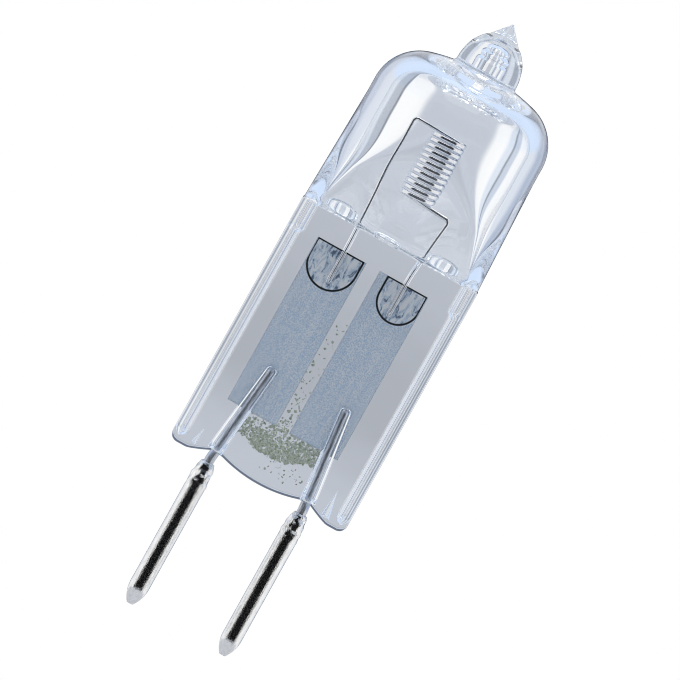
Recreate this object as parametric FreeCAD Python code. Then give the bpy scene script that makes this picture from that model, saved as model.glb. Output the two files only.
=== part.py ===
import FreeCAD, Part
import math
import os

# Halogen capsule bulb with a two-pin 6.35 mm base. Millimetres, +Z up along the axis, pins downward.
# X runs through both pins, -Y is the face that carries the welded wires in front of the foils.
# The origin is midway between the pins, level with the lowest glass of the pinch.

# Overall length, from the pin ends to the end of the exhaust tip, and the shares that its parts take.
OVERALL_LENGTH = 41.5
PIN_SHARE = 0.24
PINCH_SHARE = 0.3966
SHOULDER_SHARE = 0.1795
TIP_SHARE = 0.0805

# Contact pins, heights below the glass.
PIN_SPACING = 6.35
PIN_DIA = 1.25
PIN_NOSE_LENGTH = 1.25
PIN_NOSE_FLAT_R = 0.2
PIN_SHOULDER_DROP = 1.4
PIN_NECK_DROP = 0.26
PIN_NECK_R = 0.44
PIN_BORE_DROP = 4.5

# Outer leads, each in the loose sleeve that the quartz keeps round it.
LEAD_DIA = 0.62
LEAD_TOP_X = 2.5
LEAD_WELD_LENGTH = 2.97
LEAD_BEND_R = 2.0
LEAD_VOID_LOW_R = 0.51
LEAD_VOID_TOP_R = 0.42

# Sealing foils, the pair pressed in a little off the middle.
FOIL_X = 2.115
FOIL_SHIFT = -0.245
FOIL_WIDTH = 3.3
FOIL_THICK = 0.03
FOIL_FEATHER = 0.5
FOIL_LOW_MARGIN = 3.65
FOIL_TOP_MARGIN = 1.65

# Unwetted blisters in front of the inner ends of the foils: from x, to x, length.
BLISTER_DEPTH = 0.06
BLISTER_STRAIGHT = 1.1
BLISTER_LEFT = (-3.94, -0.88, 2.62)
BLISTER_RIGHT = (0.81, 3.45, 2.44)

# Filament.
WIRE_DIA = 0.22
COIL_R = 1.0
COIL_PITCH = 0.3395
COIL_TURNS = 11.5
COIL_DROP = 4.47
COIL_EXIT = 0.45
LEG_LEFT_X = 2.45
LEG_RIGHT_X = 2.34
LEG_LEFT_FOIL_X = 2.18
LEG_RIGHT_FOIL_X = 1.95
LEG_WELD_SINK = 0.035
LEG_WELD_LENGTH = 2.09
LEG_SEAL_RISE = 0.5
LEG_LEAN_R = 4.0
LEG_BEND_R = 0.25
LEG_VOID_R = 0.18

# Quartz bulb above the pinch.
BULB_R = 5.7
WALL = 1.05
CORNER_R = 3.0
CROWN_R = 13.0
CROWN_WALL = 1.26
SHOULDER_BEND = 0.6
SHOULDER_INSET = 0.04
SHOULDER_HALF_THICK = 1.95
SHOULDER_SQUARE = 5.0
KEEL_RISE = 0.2
KEEL_HALF_WIDTH = 4.5
KEEL_HALF_THICK = 0.8
KEEL_SQUARE = 4.0

# Exhaust tip: radius and rise above the crown.
TIP_R = 2.0
TIP_FILLET = 0.2
TIP_FLANK = ((1.95, 0.58), (1.72, 1.36), (1.3, 1.96))
TIP_CONE_R = 0.98
TIP_CONE_RISE = 2.22
TIP_APEX_R = 0.1
BORE_R = 0.7
BORE_RISE = 1.5
BEAD_RING_R = 2.2
BEAD_R = 0.32

# Pinch.
PINCH_HALF_WIDTH = 5.97
PINCH_HALF_THICK = 1.45
NOTCH_Z = 0.55
NOTCH_HALF_WIDTH = 0.52
LOBE_Z = 0.14
WING_Z = 0.42
WING_FOOT_X = 4.8
WING_CORNER_R = 0.55
RAIL_WIDTH = 0.78
RAIL_HALF_THICK = 2.05
RAIL_BOTTOM_Z = 0.56
RAIL_END_FILLET = 0.3
RAIL_JOG_LENGTH = 1.81
RAIL_JOG = 0.2

SECTION_POINTS = 32
SECTION_STEPS = (0.1, 0.22, 0.36, 0.5, 0.64, 0.78, 0.9, 1.0)

V = FreeCAD.Vector
Z_AXIS = V(0, 0, 1)

pin_x = PIN_SPACING / 2
pin_r = PIN_DIA / 2
lead_r = LEAD_DIA / 2
wire_r = WIRE_DIA / 2
foil_face_y = -FOIL_THICK / 2
cavity_r = BULB_R - WALL
corner_x = BULB_R - CORNER_R
crown_reach = CROWN_R - CORNER_R
pin_reach = OVERALL_LENGTH * PIN_SHARE
pinch_length = OVERALL_LENGTH * PINCH_SHARE
shoulder_length = OVERALL_LENGTH * SHOULDER_SHARE
tip_length = OVERALL_LENGTH * TIP_SHARE
apex_z = OVERALL_LENGTH - pin_reach
pole_z = apex_z - tip_length
shoulder_top_z = pinch_length + shoulder_length
keel_z = pinch_length + KEEL_RISE
foil_bottom_z = FOIL_LOW_MARGIN
foil_top_z = pinch_length - FOIL_TOP_MARGIN
lead_top_z = foil_bottom_z + LEAD_WELD_LENGTH
leg_end_z = foil_top_z - LEG_WELD_LENGTH
crown_z = pole_z - CROWN_R
corner_z = crown_z + math.sqrt(crown_reach ** 2 - corner_x ** 2)


def revolve(edges):
    """Solid of revolution about Z of a closed profile drawn in the XZ plane."""
    return Part.Face(Part.Wire(edges)).revolve(V(0, 0, 0), Z_AXIS, 360)


def line(a, b):
    return Part.LineSegment(a, b).toShape()


def polyline(points):
    """Edges that join the points one after the other."""
    return [line(a, b) for a, b in zip(points, points[1:])]


def prism(edges, y_from, y_to):
    """Closed outline in an XZ plane, extruded along Y from y_from to y_to."""
    face = Part.Face(Part.Wire(edges))
    face.translate(V(0, y_from, 0))
    return face.extrude(V(0, y_to - y_from, 0))


def bend(before, corner, after, radius):
    """Arc that rounds the corner between two straight runs: its start, middle and end points."""
    back = (before - corner).normalize()
    ahead = (after - corner).normalize()
    half = back.getAngle(ahead) / 2
    middle = (back + ahead).normalize()
    reach = radius / math.tan(half)
    centre = corner + middle * (radius / math.sin(half))
    return corner + back * reach, centre - middle * radius, corner + ahead * reach


def bent_run(points, radii):
    """Edges of a straight run through the points, each inner corner rounded by its radius."""
    edges = []
    start = points[0]
    for before, corner, after, radius in zip(points, points[1:], points[2:], radii):
        first, middle, last = bend(before, corner, after, radius)
        if start.distanceToPoint(first) > 1e-6:
            edges.append(line(start, first))
        edges.append(Part.Arc(first, middle, last).toShape())
        start = last
    if start.distanceToPoint(points[-1]) > 1e-6:
        edges.append(line(start, points[-1]))
    return edges


def sweep(edges, radius):
    """Round wire of the given radius along the edges."""
    spine = Part.Wire(edges)
    first = spine.OrderedEdges[0]
    start = first.valueAt(first.FirstParameter)
    ahead = first.tangentAt(first.FirstParameter)
    ring = Part.Wire(Part.Circle(start, ahead, radius).toShape())
    return spine.makePipeShell([ring], True, False)


def crown_at(radius, centre_z, r):
    return centre_z + math.sqrt(radius ** 2 - r ** 2)


def arc_point(centre_x, centre_z, radius, angle):
    return V(centre_x + radius * math.cos(angle), 0, centre_z + radius * math.sin(angle))


def dome_edges(low_z, wall_r, corner_r, crown_r, crown_centre_z, end_r):
    """Profile of a dome: tube wall, corner and crown up to the radius end_r, all tangent."""
    lean = math.atan2(corner_z - crown_centre_z, corner_x)
    wall_top = V(wall_r, 0, corner_z)
    corner_mid = arc_point(corner_x, corner_z, corner_r, lean / 2)
    corner_end = arc_point(corner_x, corner_z, corner_r, lean)
    end = V(end_r, 0, crown_at(crown_r, crown_centre_z, end_r))
    mid_r = (corner_end.x + end_r) / 2
    crown_mid = V(mid_r, 0, crown_at(crown_r, crown_centre_z, mid_r))
    wall = line(V(wall_r, 0, low_z), wall_top)
    corner = Part.Arc(wall_top, corner_mid, corner_end).toShape()
    crown = Part.Arc(corner_end, crown_mid, end).toShape()
    return [wall, corner, crown], end


def oval_section(half_width, half_thick, square, z):
    """Closed smooth oval: an ellipse at square 2, flatter sided as square grows."""
    points = []
    for i in range(SECTION_POINTS):
        t = 2 * math.pi * i / SECTION_POINTS
        c = math.cos(t)
        s = math.sin(t)
        k = (abs(c) ** square + abs(s) ** square) ** (-1 / square)
        points.append(V(half_width * c * k, half_thick * s * k, z))
    curve = Part.BSplineCurve()
    curve.interpolate(Points=points, PeriodicFlag=True, Parameters=list(range(SECTION_POINTS + 1)))
    return Part.Wire(curve.toShape())


def shoulder_ease(step):
    """Share of the way from round to flat: bent inward on a parabola at first, then straight."""
    bent = step - SHOULDER_BEND / 2
    if step < SHOULDER_BEND:
        bent = step * step / (2 * SHOULDER_BEND)
    return bent / (1 - SHOULDER_BEND / 2)


def shoulder(top_r, low_z, half_width, half_thick, square):
    """Loft from the round tube at the shoulder top to a flat oval at low_z."""
    sections = [Part.Wire(Part.Circle(V(0, 0, shoulder_top_z), Z_AXIS, top_r).toShape())]
    for step in SECTION_STEPS:
        ease = shoulder_ease(step)
        z = shoulder_top_z + (low_z - shoulder_top_z) * step
        wide = top_r + (half_width - top_r) * step
        thick = top_r + (half_thick - top_r) * ease
        sections.append(oval_section(wide, thick, 2 + (square - 2) * ease, z))
    return Part.makeLoft(sections, True, False)


def contact_pin(side):
    """Sleeve with a rounded nose, coned neck and a blind bore pressed over the lead."""
    nose_z = -pin_reach + PIN_NOSE_LENGTH
    run = pin_r - PIN_NOSE_FLAT_R
    nose_r = (run ** 2 + PIN_NOSE_LENGTH ** 2) / (2 * run)
    swing = math.asin(PIN_NOSE_LENGTH / nose_r) / 2
    nose_mid = V(pin_r - nose_r * (1 - math.cos(swing)), 0, nose_z - nose_r * math.sin(swing))
    flat = V(PIN_NOSE_FLAT_R, 0, -pin_reach)
    nose = Part.Arc(flat, nose_mid, V(pin_r, 0, nose_z)).toShape()
    body = polyline([
        V(pin_r, 0, nose_z),
        V(pin_r, 0, -PIN_SHOULDER_DROP),
        V(PIN_NECK_R, 0, -PIN_NECK_DROP),
        V(lead_r, 0, -PIN_NECK_DROP),
        V(lead_r, 0, -PIN_BORE_DROP),
        V(0, 0, -PIN_BORE_DROP),
        V(0, 0, -pin_reach),
        flat,
    ])
    pin = revolve([nose] + body)
    pin.translate(V(side * pin_x, 0, 0))
    return pin


def foil(side):
    """Strip with feathered long edges, full thickness between the feathers."""
    half = FOIL_WIDTH / 2
    flat = half - FOIL_FEATHER
    face_y = FOIL_THICK / 2
    centre = side * FOIL_X + FOIL_SHIFT
    front = [(-half, 0), (-flat, -face_y), (flat, -face_y)]
    outline = front + [(-x, -y) for x, y in front] + front[:1]
    edges = polyline([V(centre + x, y, foil_bottom_z) for x, y in outline])
    return Part.Face(Part.Wire(edges)).extrude(V(0, 0, foil_top_z - foil_bottom_z))


def behind_foils(z_from, z_to):
    """Block that holds all that lies behind the foils' front faces between two heights."""
    corner = V(-PINCH_HALF_WIDTH, foil_face_y, z_from)
    return Part.makeBox(2 * PINCH_HALF_WIDTH, PINCH_HALF_WIDTH, z_to - z_from, corner)


def outer_lead(side):
    """Wire from the pin's bore up to its end on the foil, its back pressed flat on the foil."""
    foot = V(side * pin_x, 0, -PIN_BORE_DROP)
    knee = V(side * pin_x, 0, 0)
    top = V(side * LEAD_TOP_X, 0, lead_top_z)
    wire = sweep(bent_run([foot, knee, top], [LEAD_BEND_R]), lead_r)
    return wire.cut(behind_foils(foil_bottom_z, lead_top_z + LEAD_DIA))


def lead_void(side):
    """Space that the quartz keeps round the lead, in front of the foil where there is foil."""
    knee = V(side * pin_x, 0, 0)
    run = V(side * LEAD_TOP_X, 0, lead_top_z) - knee
    cone = Part.makeCone(LEAD_VOID_LOW_R, LEAD_VOID_TOP_R, run.Length, knee, run)
    return cone.cut(behind_foils(foil_bottom_z, lead_top_z + LEAD_DIA))


def leg_points(foil_x, top):
    """Run of one filament leg from its end on the foil up to the corner below the coil's exit."""
    weld_y = foil_face_y - wire_r + LEG_WELD_SINK
    low = V(foil_x, weld_y, leg_end_z)
    seal = V(foil_x, weld_y, foil_top_z + LEG_SEAL_RISE)
    return [low, seal, top]


def filament():
    """One wire: left leg over the top of the coil, coil downward, and out below to the right leg."""
    coil_height = COIL_PITCH * COIL_TURNS
    coil_bottom_z = pole_z - COIL_DROP - coil_height
    rise = COIL_PITCH / (2 * math.pi * COIL_R)
    start = V(COIL_R, 0, pole_z - COIL_DROP)
    end = V(-COIL_R, 0, coil_bottom_z)
    exit_up = V(0, COIL_EXIT, COIL_EXIT * rise)
    over = start + exit_up
    under = end + V(exit_up.x, exit_up.y, -exit_up.z)
    left = leg_points(-LEG_LEFT_FOIL_X, V(-LEG_LEFT_X, over.y, over.z + wire_r))
    right = leg_points(LEG_RIGHT_FOIL_X, V(LEG_RIGHT_X, under.y, under.z - WIRE_DIA))
    turn_left = (left[2] - over).getAngle(start - over)
    turn_right = (right[2] - under).getAngle(end - under)
    in_r = exit_up.Length * math.tan(turn_left / 2)
    out_r = exit_up.Length * math.tan(turn_right / 2)
    upper = bent_run(left + [over, start], [LEG_LEAN_R, LEG_BEND_R, in_r])
    lower = bent_run(right + [under, end], [LEG_LEAN_R, LEG_BEND_R, out_r])
    coil = Part.makeHelix(COIL_PITCH, coil_height, COIL_R)
    coil.rotate(V(0, 0, 0), Z_AXIS, 180)
    coil.translate(V(0, 0, coil_bottom_z))
    wire = sweep(upper, wire_r).fuse([sweep(coil.Edges, wire_r), sweep(lower, wire_r)]).removeSplitter()
    return wire.cut(behind_foils(leg_end_z - WIRE_DIA, foil_top_z)), left, right


def leg_void(points):
    """Capillary that the quartz keeps round one leg between the cavity and the leg's end."""
    low, seal, top = points
    keel = seal + (top - seal) * ((keel_z + KEEL_HALF_THICK - seal.z) / (top.z - seal.z))
    straight = Part.makeCylinder(LEG_VOID_R, seal.z - low.z, low)
    elbow = Part.makeSphere(LEG_VOID_R, seal)
    leaning = Part.makeCylinder(LEG_VOID_R, (keel - seal).Length, seal, keel - seal)
    return straight.fuse([elbow, leaning]).cut(behind_foils(leg_end_z - WIRE_DIA, foil_top_z))


def blister(x_from, x_to, length):
    """Thin D-shaped space in front of a foil's inner end."""
    side_z = foil_top_z - BLISTER_STRAIGHT
    low_z = foil_top_z - length
    sides = polyline([
        V(x_from, 0, side_z),
        V(x_from, 0, foil_top_z),
        V(x_to, 0, foil_top_z),
        V(x_to, 0, side_z),
    ])
    round_end = Part.Arc(V(x_to, 0, side_z), V((x_from + x_to) / 2, 0, low_z), V(x_from, 0, side_z))
    return prism(sides + [round_end.toShape()], foil_face_y - BLISTER_DEPTH, foil_face_y)


def rail(side, width, z_from, z_to):
    """Edge rail of the pinch: long oval section, flush with the pinch's side."""
    radius = width / 2
    centre = side * (PINCH_HALF_WIDTH - radius)
    reach = RAIL_HALF_THICK - radius
    corners = [V(centre + radius, -reach, z_from), V(centre + radius, reach, z_from)]
    others = [V(centre - radius, reach, z_from), V(centre - radius, -reach, z_from)]
    ends = [
        Part.Arc(corners[1], V(centre, RAIL_HALF_THICK, z_from), others[0]).toShape(),
        Part.Arc(others[1], V(centre, -RAIL_HALF_THICK, z_from), corners[0]).toShape(),
    ]
    edges = [line(corners[0], corners[1]), ends[0], line(others[0], others[1]), ends[1]]
    return Part.Face(Part.Wire(edges)).extrude(V(0, 0, z_to - z_from))


def rail_pair(side):
    """Rail with a rounded lower end and its wider part below the shoulder."""
    top_z = pinch_length + RAIL_JOG
    long_rail = rail(side, RAIL_WIDTH, RAIL_BOTTOM_Z, top_z)
    low_edges = [e for e in long_rail.Edges if e.BoundBox.ZMax < RAIL_BOTTOM_Z + 1e-6]
    wide_rail = rail(side, RAIL_WIDTH + RAIL_JOG, pinch_length - RAIL_JOG_LENGTH, top_z)
    return [long_rail.makeFillet(RAIL_END_FILLET, low_edges), wide_rail]


def wing_edges(side, top_z):
    """Lower edge of one wing, its round outer corner and the pinch's side, from the notch outward."""
    notch_out = pin_x + NOTCH_HALF_WIDTH
    flat_end = PINCH_HALF_WIDTH - WING_CORNER_R
    inset = WING_CORNER_R * (1 - math.sqrt(0.5))
    low = [(notch_out, NOTCH_Z), (notch_out, WING_Z), (WING_FOOT_X, 0), (flat_end, 0)]
    foot = [V(side * x, 0, z) for x, z in low]
    turn = V(side * (PINCH_HALF_WIDTH - inset), 0, inset)
    corner = V(side * PINCH_HALF_WIDTH, 0, WING_CORNER_R)
    top = V(side * PINCH_HALF_WIDTH, 0, top_z)
    return polyline(foot) + [Part.Arc(foot[-1], turn, corner).toShape(), line(corner, top)]


def pinch_plate():
    """Flat of the pinch: centre lobe and two wings below, a notch at each lead."""
    notch_in = pin_x - NOTCH_HALF_WIDTH
    notch_out = pin_x + NOTCH_HALF_WIDTH
    top_z = pinch_length + RAIL_JOG
    lobe = Part.Arc(V(-notch_in, 0, NOTCH_Z), V(0, 0, LOBE_Z), V(notch_in, 0, NOTCH_Z)).toShape()
    notch_right = line(V(notch_in, 0, NOTCH_Z), V(notch_out, 0, NOTCH_Z))
    notch_left = line(V(-notch_out, 0, NOTCH_Z), V(-notch_in, 0, NOTCH_Z))
    top = line(V(PINCH_HALF_WIDTH, 0, top_z), V(-PINCH_HALF_WIDTH, 0, top_z))
    right = wing_edges(1, top_z)
    left = wing_edges(-1, top_z)
    edges = [lobe, notch_right] + right + [top] + left[::-1] + [notch_left]
    return prism(edges, -PINCH_HALF_THICK, PINCH_HALF_THICK)


def bulb():
    """Tube, dome and exhaust tip in one turned profile."""
    foot_r = TIP_R + TIP_FILLET
    dome, foot = dome_edges(shoulder_top_z, BULB_R, CORNER_R, CROWN_R, crown_z, foot_r)
    fillet_top = V(TIP_R, 0, foot.z + TIP_FILLET)
    dip = TIP_FILLET * math.sqrt(0.5)
    fillet_mid = V(foot_r - dip, 0, fillet_top.z - dip)
    fillet = Part.Arc(foot, fillet_mid, fillet_top).toShape()
    cone_foot = V(TIP_CONE_R, 0, pole_z + TIP_CONE_RISE)
    apex = V(0, 0, apex_z)
    apex_edge = V(TIP_APEX_R, 0, apex.z - TIP_APEX_R)
    flank = Part.BSplineCurve()
    flank.interpolate([fillet_top] + [V(r, 0, pole_z + rise) for r, rise in TIP_FLANK] + [cone_foot])
    swing = TIP_APEX_R * math.sqrt(0.5)
    nose = Part.Arc(apex_edge, V(swing, 0, apex_edge.z + swing), apex).toShape()
    foot_line = [line(V(0, 0, shoulder_top_z), V(BULB_R, 0, shoulder_top_z))]
    tip = [fillet, flank.toShape(), line(cone_foot, apex_edge), nose]
    return revolve(foot_line + dome + tip + [line(apex, V(0, 0, shoulder_top_z))])


def cavity():
    """Space of the bulb: tube and crown, exhaust bore with its joint bead, and the keel of the shoulder."""
    inner_pole = pole_z - CROWN_WALL
    bore_end_z = pole_z + BORE_RISE
    inner_corner = CORNER_R - WALL
    rise = inner_pole - corner_z - inner_corner
    drop = (corner_x ** 2 - rise ** 2) / (2 * rise)
    crown_r = drop + rise + inner_corner
    dome, end = dome_edges(shoulder_top_z, cavity_r, inner_corner, crown_r, corner_z - drop, BORE_R)
    bore_end = V(0, 0, bore_end_z)
    bore_side = V(BORE_R, 0, bore_end_z - BORE_R)
    swing = BORE_R * math.sqrt(0.5)
    bore = [line(end, bore_side), Part.Arc(bore_side, V(swing, 0, bore_side.z + swing), bore_end).toShape()]
    foot = [line(V(0, 0, shoulder_top_z), V(cavity_r, 0, shoulder_top_z))]
    space = revolve(foot + dome + bore + [line(bore_end, V(0, 0, shoulder_top_z))])
    bead = Part.makeTorus(BEAD_RING_R, BEAD_R, V(0, 0, inner_pole))
    keel = shoulder(cavity_r, keel_z, KEEL_HALF_WIDTH, KEEL_HALF_THICK, KEEL_SQUARE)
    return space.cut(bead).fuse(keel)


def quartz_envelope(foils, voids):
    foot_width = PINCH_HALF_WIDTH - SHOULDER_INSET
    neck = shoulder(BULB_R, pinch_length, foot_width, SHOULDER_HALF_THICK, SHOULDER_SQUARE)
    outer = bulb().fuse([neck, pinch_plate()] + rail_pair(-1) + rail_pair(1))
    return outer.cut([cavity()] + voids).cut(foils).removeSplitter()


foil_left = foil(-1)
foil_right = foil(1)
lead_left = outer_lead(-1)
lead_right = outer_lead(1)
wire, left_leg, right_leg = filament()
voids = [lead_void(-1), lead_void(1), leg_void(left_leg), leg_void(right_leg)]
voids = voids + [blister(*BLISTER_LEFT), blister(*BLISTER_RIGHT)]

nodes = {
    "quartz_envelope": quartz_envelope([foil_left, foil_right], voids),
    "filament": wire,
    "foil_left": foil_left,
    "foil_right": foil_right,
    "outer_lead_left": lead_left,
    "outer_lead_right": lead_right,
    "contact_pin_left": contact_pin(-1),
    "contact_pin_right": contact_pin(1),
}

os.makedirs("parts", exist_ok=True)
for name, shape in nodes.items():
    solid = shape.Solids[0]
    solid.exportStep("parts/" + name + ".step")
    print(name, shape.ShapeType, len(shape.Solids), solid.isValid(), round(solid.Volume, 3))
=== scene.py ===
import bpy
import math
import mathutils
import numpy as np
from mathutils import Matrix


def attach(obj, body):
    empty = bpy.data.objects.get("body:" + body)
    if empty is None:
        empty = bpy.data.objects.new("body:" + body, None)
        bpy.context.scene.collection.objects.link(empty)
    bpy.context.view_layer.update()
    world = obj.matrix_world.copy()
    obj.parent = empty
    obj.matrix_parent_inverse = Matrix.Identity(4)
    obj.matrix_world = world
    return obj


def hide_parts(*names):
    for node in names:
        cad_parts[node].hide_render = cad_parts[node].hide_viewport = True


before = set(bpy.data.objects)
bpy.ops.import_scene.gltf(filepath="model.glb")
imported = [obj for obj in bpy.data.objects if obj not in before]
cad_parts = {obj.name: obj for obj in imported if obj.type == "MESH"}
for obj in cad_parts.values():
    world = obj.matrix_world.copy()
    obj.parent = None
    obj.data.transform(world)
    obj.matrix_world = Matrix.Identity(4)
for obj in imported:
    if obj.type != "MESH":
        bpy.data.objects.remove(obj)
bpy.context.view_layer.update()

# Sealing foils: two strips of molybdenum, rolled thin and etched to feathered edges, that carry the
# current through the pinch. The quartz is pressed on both faces; at the inner end of each foil a
# D-shaped patch of the front face was never wetted by it. The patch is mottled, partly with painted
# highlights and crease shade, inside a painted dark outline that stands for the shade where the gap ends.
MM = 0.001
foil_half_width, foil_half_thick, foil_feather = 1.65, 0.015, 0.5
foil_low, foil_top = 3.65, 14.81
foil_centres = {"left": -2.36, "right": 1.87}
patch_x = {"left": -2.42, "right": 2.13}
patch_r = {"left": 1.54, "right": 1.32}
patch_z = {"left": 13.73, "right": 13.69}
patch_margin = 0.03
fine_rows_from = 12.0


def shell(rings, first="point", last="point"):
    """Closed shell over rings of shape (rows, columns, 3), with quads from row to row. An end of kind point is
    a fan to its middle; one of kind seam lies folded on y = 0, and column j is joined to column -j. Gives the
    points, and the faces as one array for each kind."""
    rows, columns = rings.shape[:2]
    i = np.arange(rows - 1)[:, None] * columns
    j = np.arange(columns)
    k = (j + 1) % columns
    quads = np.stack([i + j, i + k, i + columns + k, i + columns + j], axis=-1).reshape(-1, 4)
    points = np.concatenate([rings.reshape(-1, 3), rings[:1].mean(axis=1), rings[-1:].mean(axis=1)])
    join = np.arange(len(points))
    fans = []
    for kind, row, middle, way in ((first, 0, len(points) - 2, 1), (last, rows - 1, len(points) - 1, -1)):
        if kind == "seam":
            join[row * columns + j] = row * columns + np.minimum(j, columns - j) % columns
        else:
            fan = np.stack([np.full(columns, middle), row * columns + k, row * columns + j], axis=-1)
            fans.append(fan[:, ::way])
    return points, [join[quads], *fans]


def piece(name, shells, material):
    """One object from closed shells (points in mm, arrays of faces), in metres, smooth, riding on the root
    body. Each shell's faces are counted on from the shell before, and points that no face uses are dropped."""
    points = np.concatenate([shell_points for shell_points, _ in shells]) * MM
    starts = np.cumsum([0] + [len(shell_points) for shell_points, _ in shells])
    groups = [start + group for start, (_, shell_faces) in zip(starts, shells) for group in shell_faces]
    used, order = np.unique(np.concatenate([group.ravel() for group in groups]), return_inverse=True)
    runs = np.split(order, np.cumsum([group.size for group in groups])[:-1])
    faces = [face for run, group in zip(runs, groups) for face in run.reshape(group.shape).tolist()]
    mesh = bpy.data.meshes.new(name)
    mesh.from_pydata(points[used].tolist(), [], faces)
    mesh.polygons.foreach_set("use_smooth", np.ones(len(mesh.polygons), dtype=bool))
    mesh.update()
    mesh.materials.append(material)
    thing = bpy.data.objects.new(name, mesh)
    bpy.context.scene.collection.objects.link(thing)
    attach(thing, "root")
    return thing


def linear(code):
    """sRGB hex text to linear colour with alpha 1."""
    parts = [int(code[i:i + 2], 16) / 255 for i in (1, 3, 5)]
    return [c / 12.92 if c <= 0.04045 else ((c + 0.055) / 1.055) ** 2.4 for c in parts] + [1.0]


def add(tree, kind, inputs=None, stops=None, **settings):
    """Add a node: settings are its own properties, inputs maps sockets to a value or to the socket that feeds
    it, stops are a colour ramp's places and hex colours."""
    made = tree.nodes.new(kind)
    for key, value in settings.items():
        setattr(made, key, value)
    for key, value in (inputs or {}).items():
        if isinstance(value, bpy.types.NodeSocket):
            tree.links.new(value, made.inputs[key])
        else:
            made.inputs[key].default_value = value
    for count, (place, code) in enumerate(stops or []):
        stop = made.color_ramp.elements[count] if count < 2 else made.color_ramp.elements.new(place)
        stop.position = place
        stop.color = linear(code)
    return made


def new_material(name):
    """Empty node material: itself, its tree and its output node."""
    made = bpy.data.materials.new(name)
    made.use_nodes = True
    made.node_tree.nodes.clear()
    return made, made.node_tree, add(made.node_tree, "ShaderNodeOutputMaterial")


def scale_of(*sizes):
    """Scale of a pattern along X, Y and Z from the sizes of its marks in mm."""
    return [1 / (size * MM) for size in sizes]


def foil_rings(centre):
    """Feathered strip: across it the half thickness is flat and falls straight to the edge; carried along Z,
    with closer rows where the patch is."""
    columns, rows = 67, 60
    across = np.concatenate([np.linspace(-1, 1, columns), np.linspace(1, -1, columns)[1:-1]])
    face = np.concatenate([np.full(columns, -1.0), np.full(columns - 2, 1.0)])
    taper = np.clip((1 - np.abs(across)) * foil_half_width / foil_feather, 0, 1)
    z = np.concatenate([np.linspace(foil_low, fine_rows_from, rows),
                        np.linspace(fine_rows_from, foil_top, rows)[1:]])
    x = centre + foil_half_width * across
    return np.stack(np.broadcast_arrays(x, face * foil_half_thick * taper, z[:, None]), axis=-1)


def patch_depth(x, z, side):
    """Distance in mm inside the unwetted patch: a round bottom, straight sides above its centre, and the
    foil's end on top."""
    below = np.minimum(z - patch_z[side], 0)
    return np.minimum(patch_r[side] - np.hypot(x - patch_x[side], below), foil_top - patch_margin - z)


# Rolled molybdenum, etched: blue-grey satin with fine rolling lines along the strip and an even etched grain,
# both drawn coarser than the real ones so that they show. The patch is the bare metal behind a thin gap:
# its own mottle, with painted highlights on the pale blotches and painted shade in the dark creases, and a
# black outline of painted shade where the gap ends.
rolling_line, crease = (0.3, 0.3, 6), (0.3, 0.3, 0.75)
etched_grain = 0.07
patch_edge, painted_outline_half, painted_outline_end = 0.01, 0.045, 0.08
foil_metal, tree, out = new_material("rolled_molybdenum_foil")
place = add(tree, "ShaderNodeTexCoord").outputs["Object"]
drawn = add(tree, "ShaderNodeMapping", {"Vector": place, "Scale": scale_of(*rolling_line)}).outputs["Vector"]
lines = add(tree, "ShaderNodeTexNoise", {"Vector": drawn, "Scale": 1.0, "Detail": 2.0}).outputs["Fac"]
grain = add(tree, "ShaderNodeTexNoise", {"Vector": place, "Scale": 1 / (etched_grain * MM),
                                         "Detail": 2.0}).outputs["Fac"]
mixed = add(tree, "ShaderNodeMix", {"Factor": 0.84, "A": lines, "B": grain}).outputs["Result"]
# The satin tones are written paler than the metal is: a painted lift for the light that the quartz holds back.
tone = add(tree, "ShaderNodeValToRGB", {"Fac": mixed},
           stops=[(0.4, "#C4D9EE"), (0.6, "#FAFDFF")]).outputs["Color"]
depth = add(tree, "ShaderNodeAttribute", attribute_name="patch_depth").outputs["Fac"]
creased = add(tree, "ShaderNodeMapping", {"Vector": place, "Scale": scale_of(*crease)}).outputs["Vector"]
blotch_and_sheen = add(tree, "ShaderNodeTexNoise", {"Vector": creased, "Scale": 1.0, "Detail": 4.0, "Roughness": 0.62,
                                          "Distortion": 0.8}).outputs["Fac"]
# Painted light: the patch's pale and white blotches are painted highlights, its dark ones painted crease shade.
bare = add(tree, "ShaderNodeValToRGB", {"Fac": blotch_and_sheen},
           stops=[(0.37, "#6A7890"), (0.43, "#C8D8E8"), (0.52, "#F0F7FC"), (0.6, "#FFFFFF")]).outputs["Color"]
inside = add(tree, "ShaderNodeMapRange", {"Value": depth, "From Min": -patch_edge,
                                          "From Max": patch_edge}).outputs["Result"]
tone = add(tree, "ShaderNodeMix", {"Factor": inside, "A": tone, "B": bare}, data_type="RGBA").outputs["Result"]
# Painted shade: a near-black outline round the patch, where the gap ends.
painted_outline = add(tree, "ShaderNodeMath", {0: depth}, operation="ABSOLUTE").outputs[0]
painted_outline = add(tree, "ShaderNodeMapRange", {"Value": painted_outline, "From Min": painted_outline_half, "From Max": painted_outline_end,
                                        "To Min": 1.0, "To Max": 0.0}).outputs["Result"]
tone = add(tree, "ShaderNodeMix", {"Factor": painted_outline, "A": tone, "B": linear("#15181C")},
           data_type="RGBA").outputs["Result"]
height = add(tree, "ShaderNodeMath", {0: blotch_and_sheen, 1: inside}, operation="MULTIPLY").outputs[0]
height = add(tree, "ShaderNodeMath", {0: mixed, 1: 0.12, 2: height}, operation="MULTIPLY_ADD").outputs[0]
ripple = add(tree, "ShaderNodeBump", {"Height": height, "Strength": 0.6, "Distance": 0.00004}).outputs["Normal"]
satin = add(tree, "ShaderNodeBsdfPrincipled", {"Base Color": tone, "Metallic": 0.2, "Roughness": 0.6,
                                               "Normal": ripple})
tree.links.new(satin.outputs["BSDF"], out.inputs["Surface"])

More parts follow.
